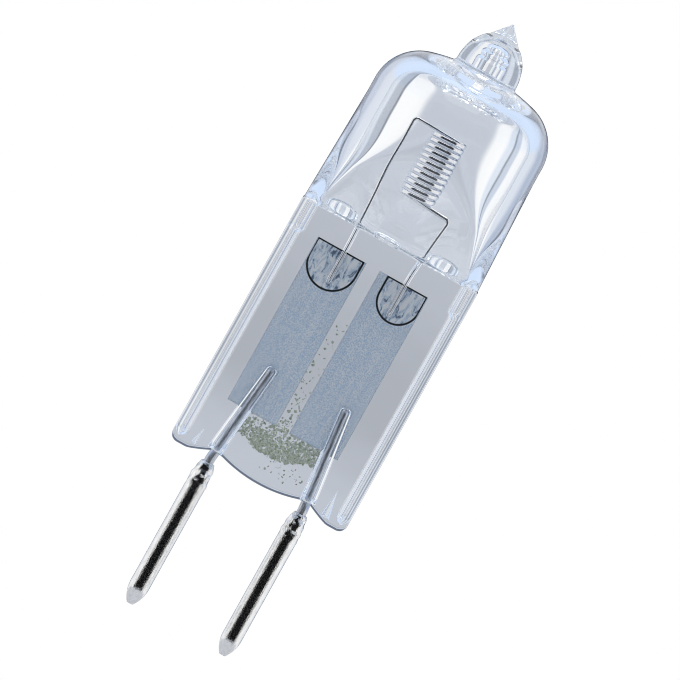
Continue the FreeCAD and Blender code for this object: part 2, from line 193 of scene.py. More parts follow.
for side, centre in foil_centres.items():
    strip = piece("sealing_foil_" + side, [shell(foil_rings(centre))], foil_metal)
    spots = np.empty(len(strip.data.vertices) * 3)
    strip.data.vertices.foreach_get("co", spots)
    spots = spots.reshape(-1, 3) / MM
    depth_here = np.where(spots[:, 1] < 0, patch_depth(spots[:, 0], spots[:, 2], side), -1.0)
    strip.data.attributes.new("patch_depth", "FLOAT", "POINT").data.foreach_set("value", depth_here)
    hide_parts("foil_" + side)

# Filament: one tungsten wire, wound as a single upright coil with both legs left straight. The left
# leg crosses over the coil's top turn, the right leg leaves below the last one; both are welded to
# the front of the foils.
wire_r, leg_r, wire_columns = 0.125, 0.105, 20
wound_square = 3.0
coil_r, coil_pitch, coil_turns, points_per_turn = 1.0, 0.3395, 11.5, 48
coil_top = 23.73
coil_bottom = coil_top - coil_pitch * coil_turns
exit_run = 0.45
leg_seal_r, leg_bend_r, leg_step = 4.0, 0.25, 0.25
leg_end, leg_seal = 12.72, 15.31
leg_weld_y = -0.1
weld_x = {"left": -2.18, "right": 1.95}
bend_x = {"left": -2.45, "right": 2.34}
run_in, run_in_points = 14, 8


def rounded_run(corners, radii, step):
    """Points along straight runs whose inner corners are arcs of the given radii. Points on the runs are about
    one step apart, those on the arcs about 0.15 radians."""
    arc_step = 0.15
    corners = np.asarray(corners, dtype=float)
    points = [corners[:1]]
    start = corners[0]
    for before, corner, after, radius in zip(corners, corners[1:], corners[2:], radii):
        back = (before - corner) / np.linalg.norm(before - corner)
        ahead = (after - corner) / np.linalg.norm(after - corner)
        half = math.acos(np.clip(back @ ahead, -1, 1)) / 2
        middle = (back + ahead) / np.linalg.norm(back + ahead)
        centre = corner + middle * radius / math.sin(half)
        first = corner + back * radius / math.tan(half)
        count = max(2, int(np.linalg.norm(first - start) / step))
        points.append(start + (first - start) * np.linspace(0, 1, count + 1)[1:, None])
        count = max(4, int((math.pi - 2 * half) / arc_step))
        swing = np.linspace(half - math.pi / 2, math.pi / 2 - half, count)[1:, None]
        across = (ahead - back) / np.linalg.norm(ahead - back)
        points.append(centre - middle * radius * np.cos(swing) + across * radius * np.sin(swing))
        start = corner + ahead * radius / math.tan(half)
    count = max(2, int(np.linalg.norm(corners[-1] - start) / step))
    points.append(start + (corners[-1] - start) * np.linspace(0, 1, count + 1)[1:, None])
    return np.concatenate(points)


def wire_rings(path, side_way, radius, columns, square=2.0):
    """Section of the given radius carried along the path; side_way gives a direction beside it at every point.
    The section is a circle, or squarer where square is above 2: cos and sin over their power mean of that
    degree."""
    ahead = np.gradient(path, axis=0)
    ahead /= np.linalg.norm(ahead, axis=1, keepdims=True)
    side = side_way - (side_way * ahead).sum(axis=1, keepdims=True) * ahead
    side /= np.linalg.norm(side, axis=1, keepdims=True)
    other = np.cross(ahead, side)
    turn = np.linspace(0, 2 * math.pi, columns, endpoint=False)[None, :, None]
    radius = np.broadcast_to(radius, len(path))[:, None, None]
    square = np.broadcast_to(square, len(path))[:, None, None]
    radius = radius * (np.abs(np.cos(turn)) ** square + np.abs(np.sin(turn)) ** square) ** (-1 / square)
    return path[:, None] + radius * (np.cos(turn) * side[:, None] + np.sin(turn) * other[:, None])


def in_front_of_foil(rings, low, high, gap):
    """Between two heights, everything behind the foil's front face is pressed flat just in front of it."""
    held = (rings[..., 2] > low) & (rings[..., 2] < high)
    rings[..., 1] = np.where(held, np.minimum(rings[..., 1], -foil_half_thick - gap), rings[..., 1])
    return rings


def leg_path(corners):
    """One leg, its bend and its run across to the coil's end. The last arc leads into the coil's own turn, and
    takes up all but a thousandth of the run to it."""
    into = np.subtract(corners[2], corners[3])
    onward = np.subtract(corners[4], corners[3])
    turn = math.acos(into @ onward / np.linalg.norm(into) / np.linalg.norm(onward))
    last_r = np.linalg.norm(onward) * math.tan(turn / 2) * 0.999
    return rounded_run(corners, [leg_seal_r, leg_bend_r, last_r], leg_step)


rise = coil_pitch / (2 * math.pi * coil_r)
upper_z = coil_top + exit_run * rise
lower_z = coil_bottom - exit_run * rise
leg_corners = {
    "left": [(weld_x["left"], leg_weld_y, leg_end), (weld_x["left"], leg_weld_y, leg_seal),
             (bend_x["left"], exit_run, upper_z + wire_r),
             (coil_r, exit_run, upper_z), (coil_r, 0, coil_top)],
    "right": [(weld_x["right"], leg_weld_y, leg_end), (weld_x["right"], leg_weld_y, leg_seal),
              (bend_x["right"], exit_run, lower_z - 2 * wire_r),
              (-coil_r, exit_run, lower_z), (-coil_r, 0, coil_bottom)],
}
upper, lower = leg_path(leg_corners["left"]), leg_path(leg_corners["right"])
turns = np.linspace(0, coil_turns, int(coil_turns * points_per_turn))[1:-1]
coil = np.stack([coil_r * np.cos(2 * np.pi * turns), -coil_r * np.sin(2 * np.pi * turns),
                 coil_top - coil_pitch * turns], axis=-1)
wire_path = np.concatenate([upper, coil, lower[::-1]])

# Over a few points at each end of the coil, the section changes from the leg's to the coil's.
count = np.arange(len(wire_path))
coming = np.clip((count - len(upper) + run_in) / run_in_points, 0, 1)
going = np.clip((len(wire_path) - len(lower) + run_in - count) / run_in_points, 0, 1)
wound = coming * going
beside = np.stack([np.zeros(len(count)), np.cos(wound * math.pi / 2), np.sin(wound * math.pi / 2)], axis=-1)
wire_skin = wire_rings(wire_path, beside, leg_r + (wire_r - leg_r) * wound, wire_columns,
                       2 + (wound_square - 2) * wound)
wire_skin = in_front_of_foil(wire_skin, 0, foil_top, 0)

# Drawn tungsten: a bright, slightly warm grey wire with fine die marks.
die_mark = 0.1
tungsten, tree, out = new_material("drawn_tungsten")
place = add(tree, "ShaderNodeTexCoord").outputs["Object"]
grit = add(tree, "ShaderNodeTexNoise", {"Vector": place, "Scale": 1 / (die_mark * MM),
                                        "Detail": 2.0}).outputs["Fac"]
tone = add(tree, "ShaderNodeValToRGB", {"Fac": grit},
           stops=[(0.3, "#E2E2E4"), (0.7, "#F4F4F5")]).outputs["Color"]
metal = add(tree, "ShaderNodeBsdfPrincipled", {"Base Color": tone, "Metallic": 1.0, "Roughness": 0.05})
tree.links.new(metal.outputs["BSDF"], out.inputs["Surface"])
wire = piece("filament_wire", [shell(wire_skin)], tungsten)
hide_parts("filament")

# Outer leads: molybdenum wire, welded to the lower end of each foil and led down out of the pinch,
# leaning outward to the pin spacing. Its upper end is pressed flat on the foil.
lead_r, lead_columns, lead_step = 0.31, 32, 0.4
pin_x = 3.175
lead_foot, lead_knee, lead_top = -4.5, 0.0, 6.62
lead_top_x, lead_knee_r = 2.5, 2.0
front_to_back = np.array([[0.0, 1.0, 0.0]])

# Drawn molybdenum: brighter than the foil, with die lines along the wire.
die_line = (0.08, 0.08, 1.2)
lead_metal, tree, out = new_material("drawn_molybdenum")
place = add(tree, "ShaderNodeTexCoord").outputs["Object"]
drawn = add(tree, "ShaderNodeMapping", {"Vector": place, "Scale": scale_of(*die_line)}).outputs["Vector"]
grit = add(tree, "ShaderNodeTexNoise", {"Vector": drawn, "Scale": 1.0, "Detail": 3.0}).outputs["Fac"]
tone = add(tree, "ShaderNodeValToRGB", {"Fac": grit},
           stops=[(0.35, "#AEB5C0"), (0.65, "#E6EAF0")]).outputs["Color"]
ripple = add(tree, "ShaderNodeBump", {"Height": grit, "Strength": 0.7, "Distance": 0.00004}).outputs["Normal"]
metal = add(tree, "ShaderNodeBsdfPrincipled", {"Base Color": tone, "Metallic": 0.8, "Roughness": 0.3,
                                               "Normal": ripple})
tree.links.new(metal.outputs["BSDF"], out.inputs["Surface"])
for side, sign in (("left", -1), ("right", 1)):
    run = rounded_run([(sign * pin_x, 0, lead_foot), (sign * pin_x, 0, lead_knee),
                       (sign * lead_top_x, 0, lead_top)], [lead_knee_r], lead_step)
    rings = in_front_of_foil(wire_rings(run, front_to_back, lead_r, lead_columns), foil_low, foil_top, 0)
    lead = piece("lead_wire_" + side, [shell(rings)], lead_metal)
    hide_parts("outer_lead_" + side)

# Envelope: one piece of fused quartz tube. The dome end carries the melted-off exhaust tip, the other
# end was softened and pressed flat round the foils, which leaves two edge rails and a step under the
# shoulder. Inside are the gas space and the loose sleeves that the quartz keeps round the wires.
bulb_r, wall = 5.698, 1.05
corner_r, crown_r, crown_wall = 3.0, 13.0, 1.26
apex_z, pole_z = 31.54, 28.2
shoulder_top, pinch_top, pinch_step = 23.91, 16.46, 0.04
shoulder_half_width, shoulder_half_thick, shoulder_square = 5.93, 1.95, 5.0
shoulder_bend, shoulder_rows = 0.6, 52
shoulder_low = pinch_top + pinch_step
tip_r, tip_fillet, tip_point_r = 2.0, 0.2, 0.1
tip_cone_r, tip_cone_z = 0.98, pole_z + 2.22
tip_flank = [(1.3, pole_z + 1.96), (1.72, pole_z + 1.36), (1.95, pole_z + 0.58)]
pinch_half_width, pinch_half_thick = 5.97, 1.45
pinch_edge_r, pinch_foot_r = 0.06, 0.02
rail_middle, rail_half, rail_rise = 5.535, 0.345, 0.6
rail_jog, rail_jog_z, rail_jog_half, rail_end = 0.2, 14.65, 0.1, 0.5
notch_z, notch_half_width, lobe_z = 0.55, 0.52, 0.14
wing_z, wing_foot_x, wing_corner_r, wing_curve = 0.42, 4.8, 0.55, 1.2
corner_x = bulb_r - corner_r
crown_z = pole_z - crown_r
corner_z = crown_z + math.sqrt((crown_r - corner_r) ** 2 - corner_x ** 2)

# Angle columns round the axis, closer together where the flat oval turns its corner.
quarter_columns = 65
oval_corner, corner_spread, corner_crowd = 41, 7, 3.5
quarter = np.linspace(0, 90, 721)
density = 1 + corner_crowd * np.exp(-((quarter - oval_corner) / corner_spread) ** 2)
share = np.concatenate([[0], np.cumsum((density[1:] + density[:-1]) / 2)])
quarter = np.interp(np.linspace(0, share[-1], quarter_columns), share, quarter)
angles = np.concatenate([quarter[:-1], 180 - quarter[:0:-1], 180 + quarter[:-1], 360 - quarter[:0:-1]])
cosine, sine = np.cos(np.radians(angles)), np.sin(np.radians(angles))
cosine[np.abs(cosine) < 1e-9] = 0
sine[np.abs(sine) < 1e-9] = 0
fold = np.degrees(np.arctan2(np.abs(sine), np.abs(cosine)))


def arc(centre_x, centre_z, radius, start, end, count):
    """Points of an arc in the profile plane, angles in degrees from the X axis."""
    turn = np.radians(np.linspace(start, end, count))
    return np.stack([centre_x + radius * np.cos(turn), centre_z + radius * np.sin(turn)], axis=-1)


def turned(profile):
    """Rings of a profile (radius, height) turned about Z."""
    radius, height = profile[:, :1], profile[:, 1:]
    return np.stack(np.broadcast_arrays(radius * cosine, radius * sine, height), axis=-1)


def oval(half_width, half_thick, square):
    """Oval outlines: the point at angle t is (a cos t, b sin t) over the power mean of cos and sin of degree
    square."""
    spread = (np.abs(cosine) ** square + np.abs(sine) ** square) ** (-1 / square)
    return half_width * cosine * spread, half_thick * sine * spread


def shoulder_skin(step):
    """Outer skin of the shoulder at the steps from 0 to 1, shape (rows, 1 or columns): the round tube is bent
    inward on a parabola and runs straight to the flat oval, its sides spreading evenly."""
    bend = shoulder_bend
    ease = np.where(step < bend, step ** 2 / (2 * bend), step - bend / 2) / (1 - bend / 2)
    x, y = oval(bulb_r + (shoulder_half_width - bulb_r) * step, bulb_r + (shoulder_half_thick - bulb_r) * ease,
                2 + (shoulder_square - 2) * ease)
    return np.stack(np.broadcast_arrays(x, y, shoulder_top + (shoulder_low - shoulder_top) * step), axis=-1)


def set_in(skin, depth):
    """A skin of rows going down, moved inward along its own normals."""
    normal = np.cross(np.roll(skin, -1, axis=1) - np.roll(skin, 1, axis=1), np.gradient(skin, axis=0))
    return skin + depth * normal / np.linalg.norm(normal, axis=-1, keepdims=True)


def spline(points, count):
    """Smooth curve through the points: cubic Hermite with slopes from the neighbours."""
    points = np.asarray(points, dtype=float)
    slopes = np.gradient(points, axis=0)
    t = np.linspace(0, len(points) - 1, count)
    i = np.minimum(t.astype(int), len(points) - 2)
    f = (t - i)[:, None]
    a, b, da, db = points[i], points[i + 1], slopes[i], slopes[i + 1]
    return a * (1 + 2 * f) * (1 - f) ** 2 + da * f * (1 - f) ** 2 + b * f * f * (3 - 2 * f) - db * f * f * (1 - f)


# Outer skin from the tip's point down: point, cone, flank and fillet of the tip, crown, corner, tube.
foot_z = crown_z + math.sqrt(crown_r ** 2 - (tip_r + tip_fillet) ** 2)
flank = spline([(tip_cone_r, tip_cone_z), *tip_flank, (tip_r, foot_z + tip_fillet)], 24)
cone = np.stack([np.linspace(tip_point_r, tip_cone_r, 8), np.linspace(apex_z - tip_point_r, tip_cone_z, 8)], axis=-1)
lean = math.degrees(math.atan2(corner_z - crown_z, corner_x))
foot_lean = math.degrees(math.acos((tip_r + tip_fillet) / crown_r))
outer_profile = np.concatenate([
    arc(0, apex_z - tip_point_r, tip_point_r, 88, 5, 6),
    cone[1:],
    flank[1:],
    arc(tip_r + tip_fillet, foot_z + tip_fillet, tip_fillet, 180, 265, 9)[1:],
    arc(0, crown_z, crown_r, foot_lean, lean, 16)[1:],
    arc(corner_x, corner_z, corner_r, lean, 0, 24)[1:],
    np.stack([np.full(6, bulb_r), np.linspace(corner_z, shoulder_top, 6)], axis=-1)[1:],
])
shoulder = shoulder_skin(np.linspace(0, 1, shoulder_rows)[1:, None])


def pinch_outline(middle, half, end):
    """Pinch section: straight side, small corner, the half-elliptic rail and the flat web, set on the angle
    columns. At the rail's round end it shrinks to the share end, with the web on both sides of it."""
    flat = pinch_half_thick
    side_points, corner_points, rail_points = 9, 6, 33
    side_angle, corner_angle, rail_angle = 32, 35, 47
    side = np.stack([np.full(side_points, pinch_half_width),
                     np.linspace(0, flat - pinch_edge_r, side_points)], axis=-1)
    corner = arc(pinch_half_width - pinch_edge_r, flat - pinch_edge_r, pinch_edge_r, 0, 90, corner_points)[1:]
    turn = np.cos(np.radians(np.linspace(0, 180, rail_points)))
    over = np.clip(end ** 2 - turn ** 2, 0, 1)
    rail = np.stack([middle + half * turn, flat + rail_rise * np.sqrt(over)], axis=-1)
    line = np.concatenate([side, corner, rail])
    along = np.interp(fold, [0, side_angle, corner_angle, rail_angle],
                      [0, side_points - 1, side_points + corner_points - 2, len(line) - 1])
    web_x = np.abs(oval(shoulder_half_width, shoulder_half_thick, shoulder_square)[0])
    web_x *= line[-1, 0] / np.interp(rail_angle, quarter, web_x[:quarter_columns])
    x = np.where(fold > rail_angle, web_x, np.interp(along, np.arange(len(line)), line[:, 0]))
    y = np.where(fold > rail_angle, flat, np.interp(along, np.arange(len(line)), line[:, 1]))
    return np.stack([x * np.sign(cosine), y * np.sign(sine)], axis=-1)


def lower_edge(x):
    """Height of the pinch's lower edge: a round lobe in the middle, a notch at each lead, and a wing that falls
    from the notch to its round outer corner."""
    x = np.abs(x)
    inner, outer = pin_x - notch_half_width, pin_x + notch_half_width
    corner = pinch_half_width - wing_corner_r
    sag = notch_z - lobe_z
    lobe_r = (inner ** 2 + sag ** 2) / (2 * sag)
    lobe = lobe_z + lobe_r - np.sqrt(lobe_r ** 2 - np.minimum(x, inner) ** 2)
    wing = wing_z * np.clip((wing_foot_x - x) / (wing_foot_x - outer), 0, 1) ** wing_curve
    round_up = wing_corner_r - np.sqrt(np.maximum(wing_corner_r ** 2 - np.maximum(x - corner, 0) ** 2, 0))
    return np.where(x < inner, lobe, np.where(x > outer, wing + round_up, notch_z))


# Pinch rows from the step under the shoulder down to the lower edge. The rail widens above its jog and ends
# below in a half round. Below blend the rows bend to follow the lower edge; the last ones round its foot and
# close on the middle plane.
blend = 2.0
closing_rows = 6
round_down = np.radians(np.linspace(0, 90, 12))
round_foot = round_down[::2]
levels = np.concatenate([
    [pinch_top + 0.025, pinch_top, pinch_top - 0.03],
    np.linspace(16.2, 14.85, 4),
    np.linspace(14.75, 14.55, 7),
    np.linspace(14.4, 2.2, 8),
    np.linspace(2.0, 1.0, 6),
    rail_end + rail_half * (1 - np.sin(round_down)),
    [0.4, 0.25, 0.1],
    pinch_foot_r * (1 - np.sin(round_foot)),
    np.zeros(closing_rows),
])
widened = rail_jog * np.clip((levels - rail_jog_z + rail_jog_half) / (2 * rail_jog_half), 0, 1)
ending = np.sqrt(1 - np.clip((rail_end + rail_half - levels) / rail_half, 0, 1) ** 2)
slim = np.ones(len(levels))
slim[-closing_rows - len(round_foot):-closing_rows] = 1 - pinch_foot_r / pinch_half_thick * (1 - np.cos(round_foot))
slim[-closing_rows:] = np.linspace(slim[-closing_rows - 1], 0, closing_rows + 1)[1:]
outlines = np.stack([pinch_outline(rail_middle - w / 2, rail_half + w / 2, e) for w, e in zip(widened, ending)])
edge_z = lower_edge(outlines[..., 0])
pinch_z = np.where(levels[:, None] < blend, edge_z + levels[:, None] * (1 - edge_z / blend), levels[:, None])
pinch = np.stack([outlines[..., 0], outlines[..., 1] * slim[:, None], pinch_z], axis=-1)
outer_rings = np.concatenate([turned(outer_profile), shoulder, pinch])

# Gas space: keel, neck of even wall, tube, dome with the rough joint ring of the exhaust tube, and its bore,
# which narrows in uneven rings where the tube was melted off.
inner_r, inner_corner, inner_pole = bulb_r - wall, corner_r - wall, pole_z - crown_wall
bead_ring, bead_r, bead_z = 2.2, 0.26, inner_pole - 0.1
bead_waves = ((9, 0.07, 1), (17, 0.08, 0), (29, 0.07, 2))
bore_r, bore_lip, bore_end = 0.7, 0.15, 29.7
bore_rings = [(0.6, 28.92), (0.64, 29.08), (0.62, 29.22), (0.5, 29.33), (0.52, 29.45), (0.4, 29.6)]
gain = inner_pole - corner_z - inner_corner
drop = (corner_x ** 2 - gain ** 2) / (2 * gain)
inner_crown = drop + gain + inner_corner
inner_lean = math.degrees(math.atan2(drop, corner_x))
bead_foot = math.degrees(math.acos((bead_ring + bead_r) / inner_crown))
inner_profile = np.concatenate([
    np.stack([np.full(6, inner_r), np.linspace(shoulder_top, corner_z, 6)], axis=-1),
    arc(corner_x, corner_z, inner_corner, 0, inner_lean, 18)[1:],
    arc(0, corner_z - drop, inner_crown, inner_lean, bead_foot, 9)[1:],
    arc(bead_ring, bead_z, bead_r, 0, -180, 13),
    np.array([[1.3, inner_pole - 0.03], [bore_r + bore_lip, inner_pole]]),
    arc(bore_r + bore_lip, inner_pole + bore_lip, bore_lip, 270, 180, 6)[1:],
    spline([(bore_r, inner_pole + 0.2), (bore_r, 28.3), (bore_r, 28.75), *bore_rings,
            (0.2, bore_end - 0.03), (0.02, bore_end)], 34),
])
vault = turned(inner_profile)
on_bead = np.abs(inner_profile[:, 0] - bead_ring) < bead_r * 1.01
on_bead &= inner_profile[:, 1] < bead_z + 0.01
spin = np.radians(angles)
lumps = sum(high * np.sin(waves * spin + shift) for waves, high, shift in bead_waves)
vault[..., 2] += np.where(on_bead[:, None], lumps * (bead_z - inner_profile[:, 1:]) / bead_r, 0)

keel_z, keel_depth, keel_draw_in = 16.62, 0.5, 0.07
keel_ridge, keel_ridge_width, keel_ridge_x = 0.12, 0.4, (-2.27, 2.12)


def keel_line(x):
    """Height of the gas space's lowest line: three pockets, parted by a round ridge of quartz at each leg."""
    ridges = sum(np.exp(-((x - middle) / keel_ridge_width) ** 2) for middle in keel_ridge_x)
    return keel_z + keel_ridge * ridges


# The neck is the shoulder's skin set in by the wall; every column stops where the keel's round bottom takes
# over, which a few passes find.
reach = np.ones(len(angles))
for _ in range(6):
    neck = set_in(shoulder_skin(np.linspace(0, 1, shoulder_rows)[:, None] * reach), wall)
    reach += (neck[-1, :, 2] - keel_line(neck[-1, :, 0]) - keel_depth) / (shoulder_top - shoulder_low)
turn_in = np.radians(np.linspace(0, 90, 13))[1:, None]
keel_x = neck[-1, :, 0] * (1 - keel_draw_in * np.sin(turn_in))
keel_y = neck[-1, :, 1] * np.cos(turn_in)
keel_y[-1] = 0
keel = np.stack([keel_x, keel_y, keel_line(keel_x) + keel_depth * (1 - np.sin(turn_in))], axis=-1)
inner_rings = np.concatenate([keel[::-1], neck[:0:-1], vault])
shells = [shell(outer_rings[::-1], first="seam"), shell(inner_rings[:, ::-1], first="seam")]

# Sleeves: the narrow voids round the leads, wider below, and round the legs. Over the foils they are flat
# behind, a hair in front of the foil's face.
sleeve_gap, sleeve_past_lead, sleeve_past_leg = 0.004, 0.02, 0.06
lead_sleeve_low, lead_sleeve_knee = 0.6, (3.085, 1.5)
lead_sleeve_r, lead_sleeve_step = [0.51, 0.42], 0.3
leg_sleeve_top, leg_sleeve_r, leg_sleeve_columns, leg_sleeve_step = 16.75, 0.18, 24, 0.2
for side, sign in (("left", -1), ("right", 1)):
    run = rounded_run([(sign * pin_x, 0, lead_sleeve_low), (sign * lead_sleeve_knee[0], 0, lead_sleeve_knee[1]),
                       (sign * lead_top_x, 0, lead_top + sleeve_past_lead)], [lead_knee_r], lead_sleeve_step)
    sleeve_r = np.interp(run[:, 2], [lead_sleeve_low, lead_top], lead_sleeve_r)
    sleeve = wire_rings(run, front_to_back, sleeve_r, lead_columns)
    shells.append(shell(in_front_of_foil(sleeve, foil_low, foil_top, sleeve_gap)[:, ::-1]))
    leg = np.array(leg_corners[side][:3])
    leg[2] = leg[1] + (leg[2] - leg[1]) * (leg_sleeve_top - leg[1, 2]) / (leg[2, 2] - leg[1, 2])
    leg[0, 2] -= sleeve_past_leg
    run = rounded_run(leg, [leg_seal_r], leg_sleeve_step)
    sleeve = wire_rings(run, front_to_back, leg_sleeve_r, leg_sleeve_columns)
    shells.append(shell(in_front_of_foil(sleeve, 0, foil_top, sleeve_gap)[:, ::-1]))

# Two smooth lumps of quartz on the floor of the gas space, outside the legs, and a flat bubble in the wall
# before them. Each is an ellipsoid, closed flat two degrees short of its poles; the bubble's skin faces inward.
lump_places, lump_half = [(-3.5, 0, 17.12), (3.32, 0, 17.12)], (1.05, 0.62, 0.48)
bubble_place, bubble_half = (-0.3, -1.45, 16.87), (0.95, 0.26, 0.26)
up_turn = np.radians(np.linspace(-88, 88, 17))[:, None]
round_turn = np.radians(np.linspace(0, 360, 33))[:-1]
rounds = [(lump, lump_half, 1) for lump in lump_places] + [(bubble_place, bubble_half, -1)]
for (x, y, z), (half_x, half_y, half_z), way in rounds:
    skin = np.broadcast_arrays(x + half_x * np.cos(up_turn) * np.cos(round_turn),
                               y + half_y * np.cos(up_turn) * np.sin(round_turn), z + half_z * np.sin(up_turn))
    shells.append(shell(np.stack(skin, axis=-1)[:, ::way]))

# A thin wedge-shaped chip beside each notch, left where the press jaws let go: x and z of its upper and lower
# end, and its radius below.
chips = [((-4.36, 1.5), (-4.5, 0.38), 0.2), ((4.42, 2.1), (4.5, 0.34), 0.32)]
chip_y, chip_point_r, chip_columns, chip_step = -0.9, 0.01, 24, 0.1
for (top_x, top_z), (low_x, low_z), chip_r in chips:
    run = rounded_run([(top_x, chip_y, top_z), (low_x, chip_y, low_z)], [], chip_step)
    chip = wire_rings(run, front_to_back, np.linspace(chip_point_r, chip_r, len(run)), chip_columns)
    shells.append(shell(chip[:, ::-1]))

# Fused quartz, fire polished: clear, with the faint waviness of drawn and pressed glass.
glass_wave = 2.5
quartz, tree, out = new_material("fused_quartz")
place = add(tree, "ShaderNodeTexCoord").outputs["Object"]
waves = add(tree, "ShaderNodeTexNoise", {"Vector": place, "Scale": 1 / (glass_wave * MM),
                                         "Detail": 1.0}).outputs["Fac"]
ripple = add(tree, "ShaderNodeBump", {"Height": waves, "Strength": 0.2, "Distance": 0.00002}).outputs["Normal"]
clear = add(tree, "ShaderNodeBsdfPrincipled", {"Base Color": linear("#FDFEFF"), "Roughness": 0.0, "IOR": 1.458,
                                               "Transmission Weight": 1.0, "Normal": ripple})
tree.links.new(clear.outputs["BSDF"], out.inputs["Surface"])
envelope = piece("quartz_bulb", shells, quartz)
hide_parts("quartz_envelope")

# Ink: a worn patch of olive ceramic ink on the back of the pinch, below and between the foils. It is a film a
# few thousandths of a millimetre thick, baked onto the quartz, and has broken up into flecks.
ink_thick, ink_corners, ink_seed = 0.006, 6, 7
field_low, field_high, field_draws = [-2.6, 1.4], [2.6, 3.7], 9000
field_edge_x = [-2.6, -1.83, -1.15, 0.22, 1.08, 1.58, 2.6]
field_edge_z = [2.2, 1.95, 1.73, 1.69, 1.86, 2.25, 2.5]
field_edge_fade, field_middle = 0.15, 0.2
gap_low, gap_high, gap_draws = [-0.7, 3.6], [0.2, 11.0], 420
stray_middle, stray_spread, stray_draws = [1.1, 1.35], [0.75, 0.3], 46
stray_lowest, stray_share = 0.75, 0.7
fleck_least, fleck_most = 0.018, 0.11
draw = np.random.default_rng(ink_seed)

# The field is dense above its lower edge and thins out upward and to both sides; a thin trail follows the gap
# between the foils, and single flecks lie below the field.
spots = draw.uniform(field_low, field_high, (field_draws, 2))
above = spots[:, 1] - np.interp(spots[:, 0], field_edge_x, field_edge_z)
cover = np.clip(above / field_edge_fade, 0, 1) * np.interp(above, [0, 0.9, 1.3], [0.62, 0.5, 0.16])
cover = cover * np.interp(np.abs(spots[:, 0] - field_middle), [1.2, 2.2], [1, 0.45])
spots = spots[draw.uniform(size=len(spots)) < cover]
trail = draw.uniform(gap_low, gap_high, (gap_draws, 2))
trail = trail[draw.uniform(size=len(trail)) < np.interp(trail[:, 1], [3.6, 6.0, 11.0], [0.6, 0.3, 0.08])]
strays = draw.normal(stray_middle, stray_spread, (stray_draws, 2))
strays = strays[strays[:, 1] > stray_lowest]
spots = np.concatenate([spots, trail, strays])

# A fleck is a flat plate with uneven corners: its outline at two levels, joined by its sides.
fleck_r = draw.gamma(4.0, 0.0125, len(spots)).clip(fleck_least, fleck_most)
fleck_r[-len(strays):] *= stray_share
turn = np.linspace(0, 2 * math.pi, ink_corners, endpoint=False)
corner_reach = fleck_r[:, None] * draw.uniform(0.6, 1.35, (len(spots), ink_corners))
layer = pinch_half_thick + draw.uniform(0.001, 0.005, (len(spots), 1))
plate = np.stack(np.broadcast_arrays(spots[:, :1] + corner_reach * np.cos(turn), layer,
                                     spots[:, 1:] + corner_reach * np.sin(turn)), axis=-1)
flecks = np.stack([plate, plate + [0, ink_thick, 0]], axis=1).reshape(-1, 3)
start = np.arange(len(spots))[:, None] * 2 * ink_corners
j = np.arange(ink_corners)
k = (j + 1) % ink_corners
sides = (start[..., None] + np.stack([j, j + ink_corners, k + ink_corners, k], axis=-1)).reshape(-1, 4)
ends = np.concatenate([start + j, start + ink_corners + j[::-1]])

# Baked ceramic ink: dull olive, uneven in depth.
ink_cloud = 0.16
olive_ink, tree, out = new_material("baked_olive_ink")
place = add(tree, "ShaderNodeTexCoord").outputs["Object"]
depth = add(tree, "ShaderNodeTexNoise", {"Vector": place, "Scale": 1 / (ink_cloud * MM),
                                         "Detail": 3.0}).outputs["Fac"]
# The olive tones are written paler than the ink is: a painted lift for the light that the quartz holds back.
tone = add(tree, "ShaderNodeValToRGB", {"Fac": depth},
           stops=[(0.34, "#B4C09F"), (0.5, "#DEE5CC"), (0.66, "#FAFBF2")]).outputs["Color"]
dull = add(tree, "ShaderNodeBsdfPrincipled", {"Base Color": tone, "Roughness": 0.75})
tree.links.new(dull.outputs["BSDF"], out.inputs["Surface"])
piece("ink_flecks", [(flecks, [sides, ends])], olive_ink)

# Contact pins: nickel-plated sleeves with a rounded nose, pressed over the leads below the glass. The
# upper end was squeezed onto the lead and is dented all round.
pin_r, pin_reach, pin_columns = 0.625, 9.96, 64
nose_length, nose_flat = 1.25, 0.2
pin_neck = [(pin_r, -2.1), (0.62, -1.5), (0.585, -1.0), (0.52, -0.6), (0.44, -0.3)]
mouth_r, mouth_z = 0.41, -0.26
squeeze_low, squeeze_rise, squeeze_top, squeeze_fall = -2.2, 0.7, -0.2, 0.3
dent_depth = 0.09
nose_r = ((pin_r - nose_flat) ** 2 + nose_length ** 2) / (2 * (pin_r - nose_flat))
nose_swing = math.degrees(math.asin(nose_length / nose_r))
pin_profile = np.concatenate([
    np.array([[0.02, -pin_reach], [0.12, -pin_reach]]),
    arc(pin_r - nose_r, nose_length - pin_reach, nose_r, -nose_swing, 0, 16),
    np.stack([np.full(14, pin_r), np.linspace(nose_length - pin_reach, pin_neck[0][1], 15)[1:]], axis=-1),
    spline(pin_neck, 24)[1:],
    np.array([[mouth_r, mouth_z], [lead_r, mouth_z]]),
])

# Bright nickel plate: white mirror with faint drawing lines and small dents.
drawing_line, plate_dent = (0.12, 0.12, 0.5), 0.12
nickel, tree, out = new_material("bright_nickel_plate")
place = add(tree, "ShaderNodeTexCoord").outputs["Object"]
drawn = add(tree, "ShaderNodeMapping", {"Vector": place, "Scale": scale_of(*drawing_line)}).outputs["Vector"]
lines = add(tree, "ShaderNodeTexNoise", {"Vector": drawn, "Scale": 1.0, "Detail": 4.0,
                                         "Roughness": 0.7}).outputs["Fac"]
dents = add(tree, "ShaderNodeTexNoise", {"Vector": place, "Scale": 1 / (plate_dent * MM),
                                         "Detail": 2.0}).outputs["Fac"]
tone = add(tree, "ShaderNodeValToRGB", {"Fac": lines},
           stops=[(0.35, "#E2E2E2"), (0.65, "#FBFBFB")]).outputs["Color"]
up_pin = add(tree, "ShaderNodeSeparateXYZ", {0: place}).outputs["Z"]
